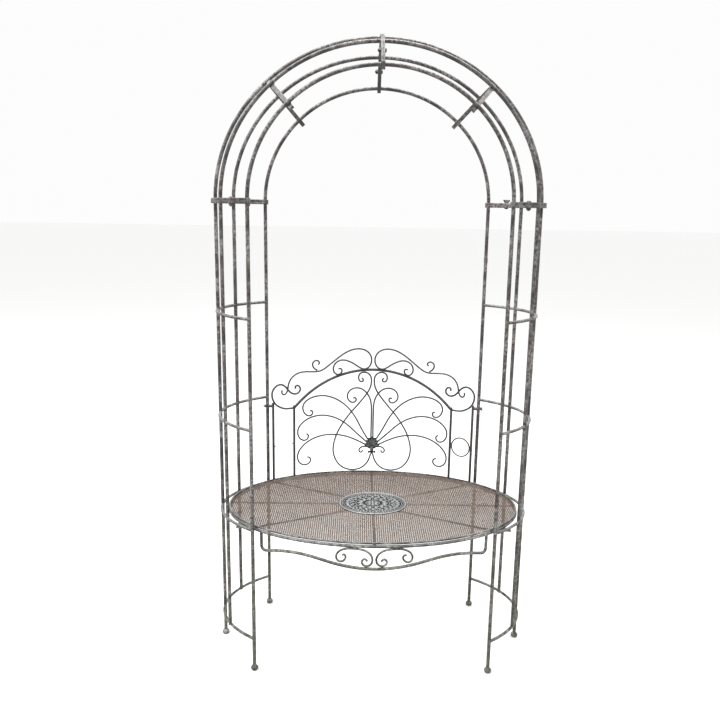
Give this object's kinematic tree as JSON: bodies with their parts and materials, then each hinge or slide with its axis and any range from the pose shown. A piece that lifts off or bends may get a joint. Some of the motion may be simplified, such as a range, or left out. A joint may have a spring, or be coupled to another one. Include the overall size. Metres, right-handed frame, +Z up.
{
  "type": "garden arch seat",
  "caption": "Metal trellis arch of curved tubes and rings with a domed top, an oval mesh seat, a scrolled backrest and a scrolled apron.",
  "frame": {"origin": "on the ground, in the middle of the oval that the legs stand on", "axes": "+Z up, +X to the right as one faces the front, +Y towards the back, so the front faces -Y"},
  "size_m": [1.068, 0.638, 2.0315],
  "materials": {
    "frame_steel": "weathered dark grey patina with pale grey rubbed highlights and rust-brown tints",
    "seat_steel": "worn silver-grey paint over dark metal",
    "mesh_steel": "expanded metal mesh, brown-grey worn paint",
    "cast_silver": "pale silver-grey casting with dark recesses",
    "scroll_iron": "charcoal painted bent rod with rubbed grey highlights",
    "apron_iron": "grey painted rod with greenish weathering",
    "fastener_steel": "dark weathered fasteners",
    "foot_iron": "cast feet with beige-green dirt"
  },
  "bodies": {
    "arch_frame": {"apron_bar": "apron_iron", "apron_scrolls": "apron_iron", "backrest_end_scrolls": "scroll_iron", "backrest_heart_scrolls": "scroll_iron", "backrest_inner_posts": "scroll_iron", "backrest_left_fan": "scroll_iron", "backrest_nut": "fastener_steel", "backrest_outer_posts": "scroll_iron", "backrest_rail": "scroll_iron", "backrest_right_fan": "scroll_iron", "backrest_ring": "scroll_iron", "backrest_ring_stubs": "scroll_iron", "backrest_shell": "cast_silver", "backrest_shell_curls": "scroll_iron", "backrest_stem_scrolls": "scroll_iron", "backrest_studs": "fastener_steel", "backrest_top_curls": "scroll_iron", "backrest_wave_scrolls": "scroll_iron", "bolt_spacers": "fastener_steel", "dome_braces": "frame_steel", "frame_bolts": "fastener_steel", "frame_nuts": "fastener_steel", "left_back_hoop": "frame_steel", "left_back_leg": "frame_steel", "left_balusters": "frame_steel", "left_crown_bar": "frame_steel", "left_feet": "foot_iron", "left_front_hoop": "frame_steel", "left_front_leg": "frame_steel", "left_mid_back_hoop": "frame_steel", "left_mid_front_hoop": "frame_steel", "left_outer_hoop": "frame_steel", "left_outer_leg": "frame_steel", "left_panel_bar": "frame_steel", "left_side_rings": "frame_steel", "left_spring_bar": "frame_steel", "right_back_hoop": "frame_steel", "right_back_leg": "frame_steel", "right_balusters": "frame_steel", "right_crown_bar": "frame_steel", "right_feet": "foot_iron", "right_front_hoop": "frame_steel", "right_front_leg": "frame_steel", "right_mid_back_hoop": "frame_steel", "right_mid_front_hoop": "frame_steel", "right_outer_hoop": "frame_steel", "right_outer_leg": "frame_steel", "right_panel_bar": "frame_steel", "right_side_rings": "frame_steel", "right_spring_bar": "frame_steel", "seat_bolts": "fastener_steel", "seat_edge_band": "seat_steel", "seat_medallion": "cast_silver", "seat_mesh": "mesh_steel", "seat_ribs": "seat_steel", "seat_rim": "seat_steel", "seat_tabs": "seat_steel"},
    "spring_nut": {"spring_wing_nut": "fastener_steel"},
    "backrest_nut_body": {"backrest_wing_nut": "fastener_steel"}
  },
  "joints": [
    {"name": "spring_nut_turn", "type": "hinge", "parent": "arch_frame", "child": "spring_nut", "pos_m": [0.44316, 0.16751, 1.544], "axis": [0, 0, 1], "continuous": true},
    {"name": "backrest_nut_turn", "type": "hinge", "parent": "arch_frame", "child": "backrest_nut_body", "pos_m": [0.4, 0.21129, 0.795], "axis": [1, 0, 0], "continuous": true}
  ]
}
